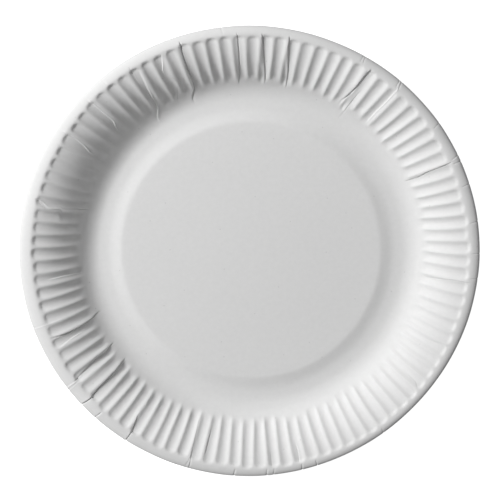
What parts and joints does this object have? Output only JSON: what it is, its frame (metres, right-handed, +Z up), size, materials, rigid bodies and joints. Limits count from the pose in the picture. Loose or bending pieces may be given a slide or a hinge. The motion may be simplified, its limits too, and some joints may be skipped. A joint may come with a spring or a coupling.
{
  "type": "paper plate",
  "caption": "Round white pressed-paperboard plate with a raised flat centre, a shallow dished wall with radial flutes and a curled-down rim, for serving food.",
  "frame": {"origin": "centre of the plate on the surface it stands on, in the plane of its standing ring", "axes": "+Z up along the plate's axis, out of the dish; X and Y are any two directions across it, with the first flute starting at +X"},
  "size_m": [0.23, 0.23, 0.0208],
  "materials": {
    "paperboard": "matte, uncoated"
  },
  "bodies": {
    "root": {"plate": "paperboard"}
  },
  "joints": []
}
